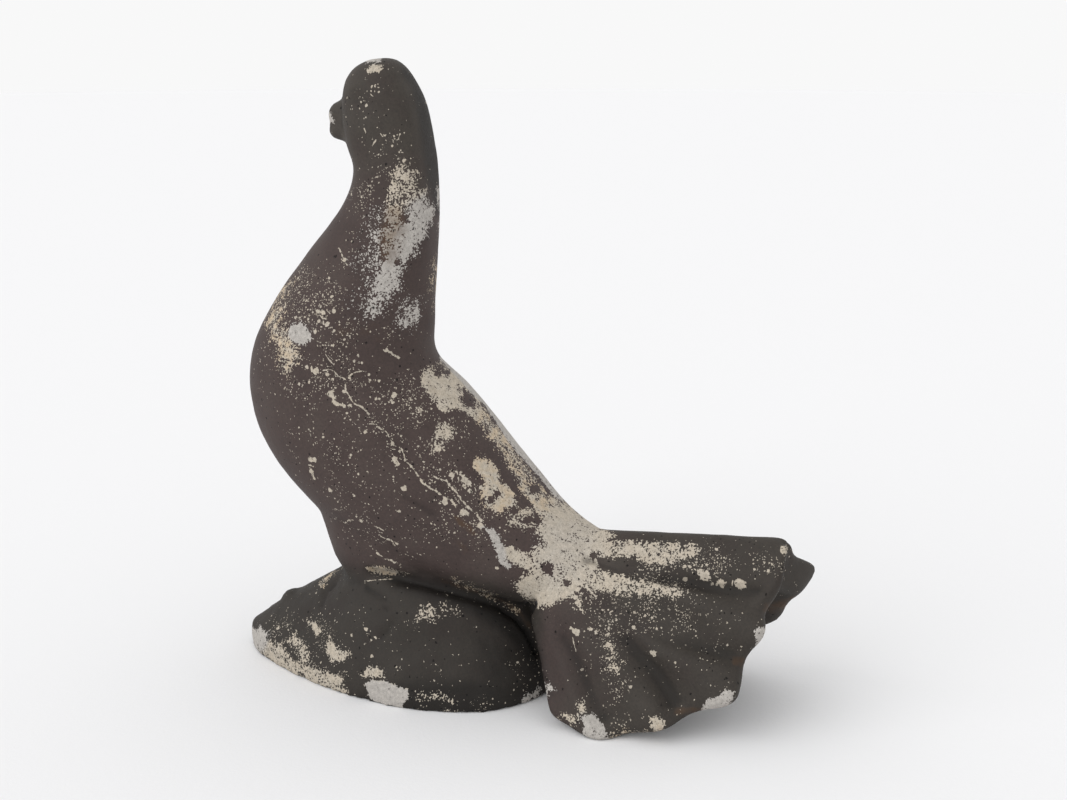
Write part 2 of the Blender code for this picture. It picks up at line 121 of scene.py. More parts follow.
# Places where the coat is worn, seen from the photograph's side: what shows there, the
# share of the coat that is gone, how soft the edge is in pixels, and the outline in the
# photograph's pixels. A later place of the same kind adds to an earlier one.
WORN = {
    "neck top": ("cream", 0.56, 5, (
        (396, 164), (415, 167), (422, 179), (428, 196), (432, 212), (426, 222),
        (412, 218), (398, 214), (386, 206), (388, 186))),
    "neck stain": ("tan", 0.6, 5, (
        (388, 204), (400, 206), (404, 222), (398, 240), (388, 256), (380, 250),
        (384, 232), (382, 216))),
    "neck core": ("cement", 0.8, 6, (
        (410, 204), (424, 196), (434, 210), (428, 236), (418, 244), (415, 254), (405, 262),
        (401, 282), (393, 294), (383, 302), (379, 314), (370, 318),
        (361, 308), (370, 292), (378, 272), (388, 252), (398, 228))),
    "neck fringe": ("cement", 0.36, 8, (
        (386, 206), (398, 214), (404, 222), (392, 250), (384, 270), (374, 292),
        (366, 310), (357, 311), (352, 299), (368, 287), (362, 275), (357, 262),
        (375, 250), (365, 237), (370, 225), (376, 212))),
    "neck low": ("cement", 0.55, 5, (
        (397, 298), (420, 300), (421, 320), (410, 329), (398, 328))),
    "nape chips": ("cement", 0.62, 2, (
        (436, 187), (446, 187), (446, 240), (438, 240), (437, 220), (440, 214), (437, 207))),
    "nape crumbs": ("tan", 0.34, 4, (
        (430, 262), (436, 256), (446, 270), (450, 300), (442, 322), (434, 312), (430, 290))),
    "breast band": ("tan", 0.56, 5, (
        (274, 306), (284, 300), (288, 306), (279, 322), (290, 332), (296, 344),
        (302, 358), (292, 368), (290, 376), (278, 372), (280, 352), (270, 334),
        (264, 322))),
    "breast edge": ("tan", 0.5, 4, (
        (270, 308), (280, 282), (292, 282), (288, 296), (280, 310))),
    "breast chip": ("cement", 0.95, 2, (
        (291, 326), (300, 323), (310, 330), (312, 340), (303, 345), (293, 342),
        (288, 334))),
    "mantle upper": ("cream", 0.84, 3, (
        (441, 360), (452, 366), (462, 378), (470, 388), (480, 402), (488, 417),
        (478, 421), (466, 413), (455, 408), (447, 413), (438, 408), (428, 396),
        (421, 384), (423, 370), (432, 366))),
    "mantle crumbs": ("cream", 0.42, 5, (
        (408, 405), (419, 402), (425, 412), (422, 425), (410, 424))),
    "mantle middle": ("cream", 0.62, 4, (
        (438, 420), (455, 420), (456, 436), (446, 446), (440, 453), (430, 452),
        (430, 442))),
    "mantle low": ("tan", 0.92, 4, (
        (473, 461), (483, 458), (492, 463), (499, 473), (501, 482), (509, 486),
        (513, 496), (518, 508), (503, 508), (498, 514), (486, 505), (482, 493),
        (486, 482), (475, 468))),
    "mantle crumbs low": ("cream", 0.58, 4, (
        (505, 511), (517, 513), (534, 506), (534, 531), (524, 530), (508, 528))),
    "back strip": ("cement", 0.95, 1, (
        (439, 358), (448, 368), (462, 382), (472, 394), (483, 403), (494, 419),
        (505, 436), (518, 454), (529, 466), (540, 478), (550, 491), (560, 501),
        (580, 500), (560, 470), (536, 436), (508, 400), (478, 366), (446, 342))),
    "back edge": ("tan", 0.95, 4, (
        (479, 420), (486, 433), (498, 450), (509, 466), (518, 480), (522, 492),
        (530, 500), (540, 519), (552, 505), (544, 490), (532, 474), (518, 458),
        (506, 440), (494, 424), (484, 408))),
    "rump": ("cream", 0.9, 5, (
        (515, 585), (530, 575), (535, 563), (532, 552), (543, 545), (538, 530), (544, 519),
        (536, 505), (552, 494), (590, 519), (602, 528), (614, 536), (604, 543), (608, 552),
        (597, 558), (600, 570), (597, 578), (583, 582), (577, 593), (582, 612), (573, 598), (563, 600),
        (553, 603), (540, 607), (525, 598))),
    "rump heart": ("cement", 0.3, 12, (
        (545, 520), (590, 525), (598, 550), (580, 575), (550, 590), (540, 560))),
    "first feather": ("cream", 0.7, 5, (
        (585, 536), (600, 540), (625, 541), (650, 542), (672, 545), (672, 552),
        (650, 558), (625, 558), (600, 556), (585, 556))),
    "first feather tip": ("cream", 0.64, 4, (
        (650, 542), (685, 543), (706, 545), (700, 552), (690, 560), (665, 566),
        (640, 562), (640, 552))),
    "second feather": ("cream", 0.66, 4, (
        (572, 566), (590, 568), (612, 574), (640, 580), (668, 584), (690, 590),
        (684, 597), (655, 597), (620, 593), (595, 590), (580, 586))),
    "fan crumbs": ("cream", 0.36, 7, (
        (598, 636), (612, 634), (622, 650), (622, 672), (606, 680), (600, 662))),
    "fan rim right": ("cement", 0.95, 2, (
        (753, 629), (768, 627), (768, 642), (759, 656), (750, 657), (757, 642))),
    "fan rim low": ("cement", 0.92, 2, (
        (702, 706), (706, 700), (718, 697), (728, 690), (736, 692), (726, 712),
        (712, 716), (700, 714))),
    "fan rim chip": ("cream", 0.8, 3, (
        (652, 716), (662, 716), (666, 726), (655, 733), (650, 728))),
    "fan corner": ("cement", 0.92, 3, (
        (580, 716), (592, 713), (600, 722), (607, 732), (607, 745), (590, 748),
        (576, 740), (585, 728))),
    "fan corner crumbs": ("cream", 0.52, 3, (
        (561, 712), (576, 716), (577, 698), (586, 700), (588, 714), (576, 726),
        (558, 718))),
    "fan rim bottom": ("tan", 0.4, 3, ((607, 733), (660, 725), (664, 734), (610, 748))),
    "far feather": ("cream", 0.6, 2, ((788, 550), (812, 560), (815, 553), (795, 546))),
    "feather chip": ("cream", 0.8, 2, ((780, 546), (787, 546), (787, 553), (780, 553))),
    "mound tip": ("cement", 0.85, 3, (
        (248, 629), (262, 628), (268, 634), (266, 645), (262, 652), (248, 650))),
    "mound rim": ("cream", 0.7, 5, (
        (262, 640), (280, 644), (288, 655), (300, 664), (318, 668), (328, 672),
        (340, 676), (348, 690), (342, 702), (320, 694), (296, 682), (275, 668),
        (256, 654))),
    "mound front": ("cream", 0.64, 4, (
        (287, 640), (296, 634), (306, 645), (309, 658), (302, 664), (294, 650))),
    "mound patch": ("cream", 0.75, 3, (
        (325, 650), (330, 640), (338, 648), (350, 654), (344, 661), (330, 662))),
    "mound middle": ("cream", 0.75, 3, (
        (360, 676), (368, 666), (378, 666), (386, 674), (384, 679), (372, 676))),
    "mound chip": ("cement", 1.0, 1, (
        (365, 683), (372, 680), (385, 681), (395, 686), (409, 690), (408, 698),
        (402, 708), (385, 704), (370, 700))),
    "mound row": ("cream", 0.44, 3, (
        (411, 691), (428, 692), (453, 693), (453, 703), (430, 701), (412, 698))),
    "mound bottom": ("cream", 0.6, 3, ((441, 708), (459, 711), (459, 720), (442, 718))),
    "mound rear rim": ("cement", 0.62, 3, (
        (520, 698), (535, 690), (548, 682), (556, 690), (540, 706), (522, 710))),
    "mound top": ("cream", 0.6, 4, (
        (406, 621), (416, 616), (423, 606), (433, 605), (437, 612), (433, 623),
        (424, 620), (415, 624))),
    "mound top crumbs": ("cream", 0.44, 3, (
        (437, 604), (450, 604), (463, 609), (460, 616), (440, 616))),
    "mound flick": ("cream", 0.8, 2, ((310, 622), (315, 621), (321, 632), (317, 636))),
    "mound joint": ("tan", 0.78, 2, (
        (364, 567), (378, 567), (390, 569), (409, 573), (390, 575), (375, 574))),
    "mound crest": ("tan", 0.55, 2, ((316, 586), (332, 570), (338, 570), (322, 588))),
    "rear smear": ("cement", 0.98, 2, (
        (484, 528), (494, 528), (499, 538), (504, 547), (505, 560), (514, 566),
        (508, 569), (499, 562), (496, 548))),
    "rear smear crumbs": ("cream", 0.78, 3, (
        (502, 546), (512, 546), (525, 552), (533, 560), (530, 573), (518, 567),
        (508, 562))),
    "belly edge": ("tan", 0.42, 3, (
        (452, 576), (470, 584), (490, 591), (502, 598), (522, 612), (518, 616),
        (498, 604), (475, 594), (452, 585))),
    "crown edge": ("cement", 0.9, 2, ((366, 55), (382, 55), (381, 62), (366, 63))),
    "crown chip": ("cream", 0.9, 2, (
        (366, 70), (373, 64), (382, 65), (379, 71), (369, 73))),
    "beak chip": ("cement", 0.95, 2, ((324, 112), (331, 112), (333, 123), (325, 124))),
}

# Dark islands of coat that are left inside worn places, as x, y and radius in pixels.
LEFT_SPOTS = (
    (467, 399, 7), (548, 568, 6), (567, 583, 4), (405, 219, 4), (594, 555, 4), (491, 500, 4),
    (497, 494, 3), (536, 488, 5), (529, 520, 5), (398, 262, 3), (421, 184, 3), (448, 372, 3),
)

# Strips of coat that are left: the share that is left, the soft edge in pixels, the outline.
LEFT_STRIPS = {
    "back line": (0.36, 2, (
        (456, 381), (463, 385), (471, 393), (481, 404), (490, 419), (499, 435), (508, 449),
        (518, 463), (528, 474), (537, 487), (533, 494), (523, 484), (512, 469), (501, 457),
        (491, 442), (481, 425), (472, 409), (464, 398), (456, 388))),
    "nape gap": (0.9, 2, (
        (427, 185), (434, 190), (438, 207), (438, 222), (436, 250), (424, 262), (428, 240),
        (433, 222), (436, 210), (432, 199))),
    "rump top": (0.3, 4, ((530, 478), (540, 490), (560, 505), (552, 512), (538, 502), (526, 486))),
    "mantle gap": (0.85, 3, ((433, 360), (444, 366), (445, 373), (438, 378), (431, 370))),
}

# Places with fine flecks: the share of the coat's cells that have one, and the outline.
FLECKED = {
    "neck": (0.5, ((350, 190), (386, 172), (392, 206), (372, 228), (352, 252))),
    "nape": (0.4, ((385, 130), (400, 125), (410, 165), (380, 180), (370, 150))),
    "cheek": (0.08, ((345, 80), (385, 80), (400, 145), (360, 150))),
    "shoulder": (0.42, ((340, 250), (385, 230), (420, 330), (380, 345), (335, 300))),
    "breast": (0.42, ((262, 300), (300, 264), (345, 264), (360, 330), (350, 400), (290, 400), (262, 350))),
    "breast low": (0.16, ((256, 300), (270, 300), (300, 460), (285, 440), (258, 380))),
    "belly": (0.14, ((300, 380), (400, 400), (440, 560), (350, 550), (310, 470))),
    "side": (0.3, ((340, 370), (420, 370), (450, 470), (400, 470), (350, 430))),
    "wing": (0.3, ((395, 400), (470, 420), (520, 560), (440, 540), (390, 460))),
    "feather row": (0.7, ((640, 552), (705, 550), (785, 556), (785, 570), (700, 580), (640, 575))),
    "feather fringe": (0.7, ((590, 572), (700, 578), (700, 602), (600, 602), (575, 600))),
    "fan root": (0.5, ((570, 600), (640, 595), (700, 605), (690, 632), (640, 640), (590, 640))),
    "fan": (0.07, ((570, 600), (745, 570), (740, 690), (600, 735), (560, 690))),
    "fan trail": (0.5, ((606, 680), (622, 680), (628, 735), (612, 735))),
    "mound": (0.04, ((300, 600), (350, 600), (440, 640), (450, 700), (320, 690))),
    "mound front": (0.34, ((256, 620), (330, 612), (350, 660), (345, 690), (280, 670))),
    "mound rear": (0.14, ((500, 660), (545, 640), (552, 690), (520, 705))),
    "mound foot": (0.3, ((405, 690), (500, 700), (500, 714), (410, 710))),
}

# Rusty places: how strong, how soft in pixels, and the outline.
RUSTED = {
    "fan notch": (0.6, 4, ((672, 707), (704, 707), (704, 712), (674, 715))),
    "fan side": (0.6, 4, ((732, 656), (746, 657), (742, 667), (732, 664))),
    "fan tip": (0.55, 5, ((764, 604), (780, 600), (796, 594), (797, 606), (775, 614), (762, 612))),
    "wing streak": (0.7, 3, (
        (453, 515), (460, 518), (470, 525), (477, 534), (473, 536), (460, 527))),
    "wing smudge": (0.35, 5, ((452, 538), (463, 540), (471, 551), (464, 557))),
    "neck stain": (0.75, 7, (
        (386, 206), (402, 208), (408, 230), (402, 252), (392, 268), (382, 262), (378, 238))),
    "mantle stain": (0.35, 5, ((424, 378), (436, 384), (440, 400), (430, 402))),
    "breast stain": (0.25, 14, ((325, 315), (390, 318), (385, 348), (330, 345))),
    "belly rim": (0.5, 3, (
        (440, 577), (470, 587), (500, 597), (522, 611), (534, 628), (530, 631), (518, 615),
        (498, 602), (470, 592), (440, 582))),
}

# Places painted darker as painted shade: how strong, how soft in pixels, and the outline.
SHADED = {
    "nape": (0.6, 5, (
        (402, 64), (422, 80), (434, 106), (440, 135), (444, 170), (444, 215), (436, 215),
        (427, 180), (423, 150), (420, 130), (417, 107), (411, 86), (402, 74))),
    "under belly": (0.6, 8, (
        (385, 577), (420, 585), (450, 592), (480, 601), (505, 611), (522, 622), (534, 636),
        (545, 655), (550, 680), (540, 690), (528, 672), (515, 648), (500, 632), (480, 618),
        (455, 606), (425, 596), (395, 588))),
    "mound rear": (0.35, 16, (
        (480, 640), (520, 640), (556, 660), (556, 700), (520, 705), (480, 700))),
    "mound foot": (0.5, 10, (
        (350, 700), (350, 712), (420, 722), (470, 724), (520, 710), (556, 696), (545, 676),
        (500, 682), (440, 680), (400, 684))),
    "fan": (0.16, 18, (
        (560, 600), (600, 590), (640, 530), (800, 530), (830, 570), (780, 700), (620, 750),
        (545, 730), (535, 640))),
    "fan front": (0.18, 12, ((540, 620), (590, 640), (610, 720), (580, 730), (545, 690))),
}

# Grooves of the casting, seen from the photograph's side: depth and half width in
# millimetres, and the line in the photograph's pixels. A ridge has a negative depth.
CARVED = (
    (3.4, 2.5, ((371, 573), (401, 578), (420, 582), (440, 587), (471, 596), (501, 606),
                (519, 618), (530, 633), (537, 650))),
    (0.9, 2.2, ((334, 584), (326, 591), (322, 604))),
    (1.0, 1.6, ((366, 588), (376, 593), (385, 599))),
    (0.8, 1.5, ((384, 608), (386, 610))),
    (0.8, 1.6, ((391, 624), (385, 633), (380, 638))),
    (1.2, 9.0, ((400, 640), (440, 648), (480, 645))),
    (0.6, 3.6, ((405, 500), (425, 508), (433, 513))),
    (0.5, 1.6, ((341, 105), (342, 125), (345, 138))),
    (0.9, 1.2, ((331, 125), (334, 126))),
    (1.5, 3.2, ((788, 541), (791, 545))),
    (-0.7, 3.5, ((352, 88), (366, 90), (378, 98))),
    (1.7, 2.6, ((588, 560), (600, 563), (620, 570), (640, 576), (665, 580))),
    (1.5, 3.6, ((665, 580), (690, 583), (710, 586), (735, 590), (757, 592))),
    (1.7, 4.2, ((610, 606), (622, 612), (640, 625), (655, 634), (670, 640), (690, 645),
                (710, 651), (730, 656), (742, 660))),
    (1.7, 5.0, ((628, 640), (640, 655), (655, 672), (665, 688), (672, 702))),
    (1.2, 4.0, ((562, 640), (572, 655), (582, 675), (590, 695), (602, 716))),
    (-0.9, 5.0, ((660, 592), (690, 598), (755, 606))),
    (-0.9, 5.0, ((650, 645), (670, 655), (700, 662), (728, 672))),
    (-0.8, 5.0, ((622, 655), (640, 675), (655, 705))),
    (-0.7, 4.0, ((585, 650), (597, 675), (606, 705))),
    (-1.0, 2.2, ((787, 548), (783, 560), (781, 572), (775, 586), (767, 595), (759, 602))),
)

# Grooves that both sides have: depth and half width, and the line as places along the
# bird from its front to its tail and heights, all in millimetres.
CARVED_ON_BOTH_SIDES = (
    (0.8, 3.0, ((-25, 159), (-12, 143), (-2, 133), (10, 120), (22, 106), (33, 97), (44, 92),
                (51, 89), (61, 73))),
    (0.6, 2.4, ((13, 99), (26, 90), (35, 86))),
    (-0.6, 3.0, ((10, 86), (29, 86), (47, 77), (58, 69))),
    (0.5, 4.0, ((-17, 77), (-7, 72))),
)

# The middles of the softly hollowed eyes, how far they are softened, and how soft the edge
# of that is, in millimetres.
EYES = ((20.3, -13.0, 266.0), (-20.3, -13.0, 266.0))
EYE_SOFTENED_MM = 15.0
EYE_EDGE_MM = 6.0

# How far back the softening of the tail starts and is full, in metres, and how strong it is.
TAIL_SOFTENED = (0.13, 0.165)
TAIL_SOFTENING = 0.85

# How often the skin is evened out to find what is soft and what is hollow.
BLUR_STEPS = 23

# Cracks and scratches as lines in the photograph's pixels, each with its width in pixels.
LINES = (
    (1.2, ((322, 371), (329, 369), (334, 371), (339, 377), (344, 378))),
    (1.1, ((325, 354), (330, 361), (334, 365))),
    (1.2, ((347, 379), (352, 374), (357, 372), (365, 371))),
    (1.3, ((347, 379), (345, 385), (346, 391), (350, 397), (354, 404), (361, 406),
           (365, 410), (369, 415))),
    (1.1, ((369, 424), (376, 424), (380, 429), (386, 431), (389, 437), (394, 445))),
    (1.3, ((401, 447), (405, 458))),
    (1.8, ((405, 461), (412, 467), (417, 474), (424, 484), (432, 489), (438, 492),
           (443, 498), (452, 500), (456, 507))),
    (1.3, ((431, 474), (437, 478), (443, 480))),
    (1.8, ((446, 480), (450, 486), (457, 493), (462, 501), (470, 509), (477, 515),
           (481, 521))),
    (1.3, ((339, 248), (343, 257), (347, 265))),
    (2.2, ((377, 553), (384, 558), (392, 561), (400, 565))),
    (1.5, ((345, 523), (349, 520), (353, 520))),
    (2.4, ((381, 536), (386, 539), (392, 541))),
    (1.2, ((374, 526), (379, 528), (384, 531))),
    (2.2, ((384, 350), (392, 353), (400, 358))),
    (1.1, ((573, 637), (574, 644), (576, 651))),
    (2.0, ((586, 586), (590, 591), (596, 597))),
    (1.0, ((364, 581), (378, 580), (393, 579))),
    (1.0, ((364, 128), (366, 133))),
    (1.1, ((372, 146), (376, 140))),
    (1.1, ((380, 133), (383, 137), (387, 134))),
    (1.2, ((395, 143), (398, 139), (400, 134))),
    (1.0, ((369, 93), (374, 97))),
)

# Round spots where the coat has flaked off, as x, y and radius in pixels.
SPOTS = (
    (316, 371, 3.6), (307, 367, 2.2), (331, 394, 3.8), (336, 403, 3.0), (344, 406, 1.9),
    (350, 405, 1.7), (317, 311, 2.0), (323, 313, 2.4), (334, 311, 2.4), (327, 324, 2.6),
    (308, 319, 1.5), (319, 321, 2.0), (315, 332, 2.1), (334, 331, 1.6), (344, 340, 1.5),
    (354, 361, 1.6), (362, 363, 1.4), (370, 380, 1.6), (379, 381, 1.6), (376, 399, 1.5),
    (394, 395, 3.2), (299, 384, 1.6), (309, 382, 1.5), (323, 437, 1.5), (345, 260, 2.6),
    (310, 460, 2.6), (315, 460, 3.0), (311, 471, 3.0), (314, 478, 2.2), (330, 490, 2.6),
    (351, 455, 1.6), (358, 474, 1.4), (361, 521, 2.4), (397, 544, 1.9), (395, 459, 2.8),
    (397, 464, 2.4), (404, 488, 3.0), (393, 444, 2.4), (445, 502, 3.0), (463, 512, 3.6),
    (467, 514, 2.4), (480, 526, 3.2), (452, 475, 3.4), (461, 472, 1.8), (464, 480, 4.0),
    (469, 482, 2.4), (470, 491, 2.4), (482, 488, 2.8), (497, 568, 1.9), (522, 577, 2.2),
    (372, 86, 1.2), (371, 91, 0.9), (378, 84, 0.8), (379, 92, 1.3), (361, 102, 1.0),
    (346, 117, 0.9), (353, 75, 0.9), (404, 160, 1.8), (392, 146, 1.3), (394, 136, 1.3),
    (704, 575, 5.4), (699, 571, 2.6), (722, 583, 4.2), (740, 584, 5.6), (712, 584, 2.1),
    (685, 579, 2.4), (577, 632, 3.5), (590, 629, 2.2), (571, 628, 1.7), (653, 653, 3.8),
    (607, 645, 2.6), (783, 549, 2.4), (278, 628, 2.6), (366, 629, 2.2), (371, 640, 1.2),
    (372, 656, 1.9), (288, 608, 1.1), (272, 616, 1.3), (406, 324, 3.8), (416, 312, 3.4),
)


def linear(hex_colour):
    """Turn an sRGB hex colour into linear red, green, blue and alpha."""
    levels = [int(hex_colour[start:start + 2], 16) / 255 for start in (0, 2, 4)]
    return (*[v / 12.92 if v <= 0.04045 else ((v + 0.055) / 1.055) ** 2.4 for v in levels], 1.0)


def colour(name, description, hex_colour):
    """Describe a colour that a user may change."""
    return bpy.props.FloatVectorProperty(
        name=name, description=description, subtype="COLOR", size=4, min=0.0, max=1.0,
        default=linear(hex_colour))


def length(name, description, metres):
    """Describe a length that a user may change."""
    return bpy.props.FloatProperty(
        name=name, description=description, subtype="DISTANCE", unit="LENGTH", min=0.0,
        default=metres, precision=5)


def share(name, description, value):
    """Describe a share from 0 to 1 that a user may change."""
    return bpy.props.FloatProperty(
        name=name, description=description, subtype="FACTOR", min=0.0, max=1.0, default=value)


class DoveLooks(bpy.types.PropertyGroup):
    """Sizes and colours of the worn statue."""

    cell: length("Skin cell", "Size of the faces of the dressed skin", 0.00135)
    undulation: length("Undulation", "Height of the slow waves of the cast skin", 0.00035)
    crust: length("Crust", "Height of the mound's rough crust", 0.0007)
    grain: length("Grain", "Size of the cement's sand grains", 0.0004)
    umber: colour("Umber coat", "Dark brown coat of body and wings", "443936")
    olive: colour("Olive coat", "Greyer coat of head, tail and mound", "3d3833")
    cream: colour("Undercoat", "Cream undercoat under the dark coat", "b6ad9f")
    tan: colour("Stained undercoat", "Undercoat stained by damp", "bcab94")
    cement: colour("Bare cement", "Cast cement under all coats", "b0aba5")
    rust: colour("Rust stain", "Brown stain of iron and damp", "4e3a29")
    gloss: share("Gloss", "Mirror share of the porous matt paint, 0.5 for sealed paint", 0.25)
    wear: share("Wear", "How much of the worn places has lost its coat", 1.0)


class StudioLooks(bpy.types.PropertyGroup):
    """Sizes and colours of the studio."""

    floor: colour("Floor", "Pale studio floor", "ebebec")
    floor_reach: length("Floor reach", "Radius of the floor", 6.0)
    key_strength: bpy.props.FloatProperty(
        name="Key light", description="Strength of the main soft light", min=0.0, default=1.0)
    key_softness: bpy.props.FloatProperty(
        name="Key softness", description="How wide the main light stands in the sky",
        subtype="ANGLE", min=0.0, default=math.radians(50.0))
    fill: bpy.props.FloatProperty(
        name="Fill", description="Strength of the even light from all around", min=0.0,
        default=0.94)


def add_node(tree, kind, *values, **settings):
    """Add a node, set it, and give its open inputs in order a value or another output."""
    made = tree.nodes.new(kind)
    for name, value in settings.items():
        setattr(made, name, value)
    for socket, value in zip([s for s in made.inputs if s.enabled], values):
        if isinstance(value, bpy.types.Node):
            value = next(output for output in value.outputs if output.enabled)
        if isinstance(value, bpy.types.NodeSocket):
            tree.links.new(value, socket)
        elif value is not None:
            socket.default_value = value
    return made


def plain(piece):
    """Turn a piece's modifiers into plain mesh."""
    depsgraph = bpy.context.evaluated_depsgraph_get()
    mesh = bpy.data.meshes.new_from_object(piece.evaluated_get(depsgraph))
    piece.modifiers.clear()
    piece.data = mesh


def read(mesh, what, width, name):
    """Read a value of every vertex as an array."""
    values = np.empty(len(mesh.vertices) * width, np.float32)
    what.foreach_get(name, values)
    return values.reshape(-1, width).astype(float)


def move_to(mesh, points):
    """Move every vertex to its new place."""
    mesh.vertices.foreach_set("co", points.astype(np.float32).ravel())
    mesh.update()


def write(mesh, name, values):
    """Keep a number or a vector for every vertex, for the material to read."""
    kind = "FLOAT" if values.ndim == 1 else "FLOAT_VECTOR"
    attribute = mesh.attributes.new(name, kind, "POINT")
    attribute.data.foreach_set(
        "value" if values.ndim == 1 else "vector", values.astype(np.float32).ravel())


def rise(values, low, high):
    """Rise softly from 0 at low to 1 at high."""
    part = np.clip((values - low) / (high - low), 0.0, 1.0)
    return part * part * (3.0 - 2.0 * part)


def camera_axes():
    """Return the camera's place and its right, up and forward directions."""
    place = np.array(CAMERA_PLACE)
    forward = np.array(CAMERA_AIM) - place
    forward /= np.linalg.norm(forward)
    right = np.cross(forward, (0.0, 0.0, 1.0))
    right /= np.linalg.norm(right)
    return place, right, np.cross(right, forward), forward


def seen_at(points):
    """Return where points in metres show in the photograph, in pixels."""
    place, right, up, forward = camera_axes()
    away = points - place
    scale = LENS_MM / SENSOR_MM * PHOTO_WIDTH / (away @ forward)
    return np.column_stack((
        PHOTO_WIDTH / 2 + (away @ right) * scale,
        PHOTO_HEIGHT / 2 - (away @ up) * scale))


def on_skin(skin, pixel):
    """Return the point of the skin that shows at a pixel of the photograph."""
    place, right, up, forward = camera_axes()
    scale = SENSOR_MM / LENS_MM / PHOTO_WIDTH
    ray = (forward + right * ((pixel[0] - PHOTO_WIDTH / 2) * scale)
           - up * ((pixel[1] - PHOTO_HEIGHT / 2) * scale))
    return skin.ray_cast(Vector(place), Vector(ray).normalized())[0]


def depth_inside(places, outline):
    """Return how deep each place lies inside an outline, negative outside, in pixels."""
    best = np.full(len(places), np.inf)
    inside = np.zeros(len(places), bool)
    x, y = places[:, 0], places[:, 1]
    corners = np.array(outline, float)
    for (ax, ay), (bx, by) in zip(corners, np.roll(corners, -1, axis=0)):
        dx, dy = bx - ax, by - ay
        part = np.clip(((x - ax) * dx + (y - ay) * dy) / (dx * dx + dy * dy), 0.0, 1.0)
        best = np.minimum(best, np.hypot(x - ax - part * dx, y - ay - part * dy))
        if ay != by:
            crosses = ((ay > y) != (by > y)) & (x < ax + (y - ay) * dx / dy)
            inside ^= crosses
    return np.where(inside, best, -best)


def facing_camera(points, normals):
    """Return how squarely each point faces the camera, and the directions to it."""
    to_camera = np.array(CAMERA_PLACE) - points
    to_camera /= np.linalg.norm(to_camera, axis=1)[:, None]
    return (normals * to_camera).sum(1), to_camera


def facing_share(points, normals, skin):
    """Return how much of each point's wear is read from the photograph, 0 to 1."""
    facing, to_camera = facing_camera(points, normals)
    uneven = strayed(points)[:, 0] / STRAY_PIXELS * rise(-facing, 0.0, 0.15)
    weight = rise(facing + 0.15 * uneven, -0.35, 0.0)
    for index in np.nonzero(facing > 0.08)[0]:
        start = Vector(points[index] + normals[index] * RAY_LIFT)
        if skin.ray_cast(start, Vector(to_camera[index]))[0] is not None:
            weight[index] = 0.0
    return weight


def laid_on_skin(line, skin):
    """Lay a line drawn in the photograph's pixels on the skin."""
    places = []
    for (ax, ay), (bx, by) in zip(line, line[1:]):
        places += [(ax, ay), ((ax + bx) / 2, (ay + by) / 2)]
    laid = [on_skin(skin, place) for place in (*places, line[-1])]
    return [np.array(point) for point in laid if point is not None]


def laid_from_the_side(line, skin, side):
    """Lay a line drawn on the bird's side, in millimetres, on the skin of that side."""
    outside = 0.2 * side
    laid = [skin.ray_cast(Vector((outside, y * MM, z * MM)), Vector((-side, 0, 0)))[0]
            for y, z in line]
    return [np.array(point) for point in laid if point is not None]


def from_line(points, line):
    """Return each point's offset from a line through space, and its distance."""
    offset = np.full((len(points), 3), FAR)
    nearest = np.full(len(points), FAR)
    for start, end in zip(line, line[1:]):
        along = end - start
        part = np.clip(((points - start) @ along) / max(along @ along, 1e-12), 0.0, 1.0)
        away = points - start - part[:, None] * along
        distance = np.linalg.norm(away, axis=1)
        closer = distance < nearest
        nearest[closer] = distance[closer]
        offset[closer] = away[closer]
    return offset, nearest


def nearest_mark(points, marks, skin):
    """Return each point's offset from the nearest mark, its distance, and the mark's size."""
    offset = np.full((len(points), 3), FAR)
    nearest = np.full(len(points), FAR)
    size = np.zeros(len(points))
    for mark_size, line in marks:
        away, distance = from_line(points, laid_on_skin(line, skin))
        closer = distance < nearest
        nearest[closer] = distance[closer]
        offset[closer] = away[closer]
        size[closer] = mark_size / PIXELS_PER_MM * MM
    return offset, nearest, size


def blurred(mesh, points):
    """Return every point's place after its surroundings have been evened out."""
    edges = np.empty(len(mesh.edges) * 2, np.int32)
    mesh.edges.foreach_get("vertices", edges)
    one, other = edges.reshape(-1, 2).T
    number = len(points)
    neighbours = np.bincount(edges, minlength=number)
    moved = points.copy()
    for _step in range(BLUR_STEPS):
        for axis in range(3):
            near = np.bincount(one, moved[other, axis], number)
            near += np.bincount(other, moved[one, axis], number)
            moved[:, axis] = (moved[:, axis] + near / neighbours) / 2
    return moved


def carve(piece):
    """Soften the eyes and the tail's tips, and press the grooves in."""
    mesh = piece.data
    points = read(mesh, mesh.vertices, 3, "co")
    normals = read(mesh, mesh.vertex_normals, 3, "vector")
    skin = skin_tree(mesh, points)
    evened = blurred(mesh, points)
    near_eye = np.zeros(len(points))
    for eye in EYES:
        away = np.linalg.norm(points - np.array(eye) * MM, axis=1)
        soft = rise(EYE_SOFTENED_MM * MM - away, 0.0, EYE_EDGE_MM * MM)
        near_eye = np.maximum(near_eye, soft)
    softened = np.maximum(near_eye, TAIL_SOFTENING * rise(points[:, 1], *TAIL_SOFTENED))
    depth = np.zeros(len(points))
    lines = [(deep, wide, laid_on_skin(line, skin)) for deep, wide, line in CARVED]
    for deep, wide, line in CARVED_ON_BOTH_SIDES:
        lines += [(deep, wide, laid_from_the_side(line, skin, side)) for side in (1, -1)]
    for deep, wide, line in lines:
        _offset, distance = from_line(points, line)
        depth += deep * MM * np.exp(-(distance / (wide * MM)) ** 2)
    points += (evened - points) * softened[:, None]
    points -= normals * depth[:, None]
    move_to(mesh, points)


def skin_tree(mesh, points):
    """Return the skin's faces in a form that rays can be cast at."""
    return BVHTree.FromPolygons(
        [tuple(point) for point in points], [tuple(face.vertices) for face in mesh.polygons])


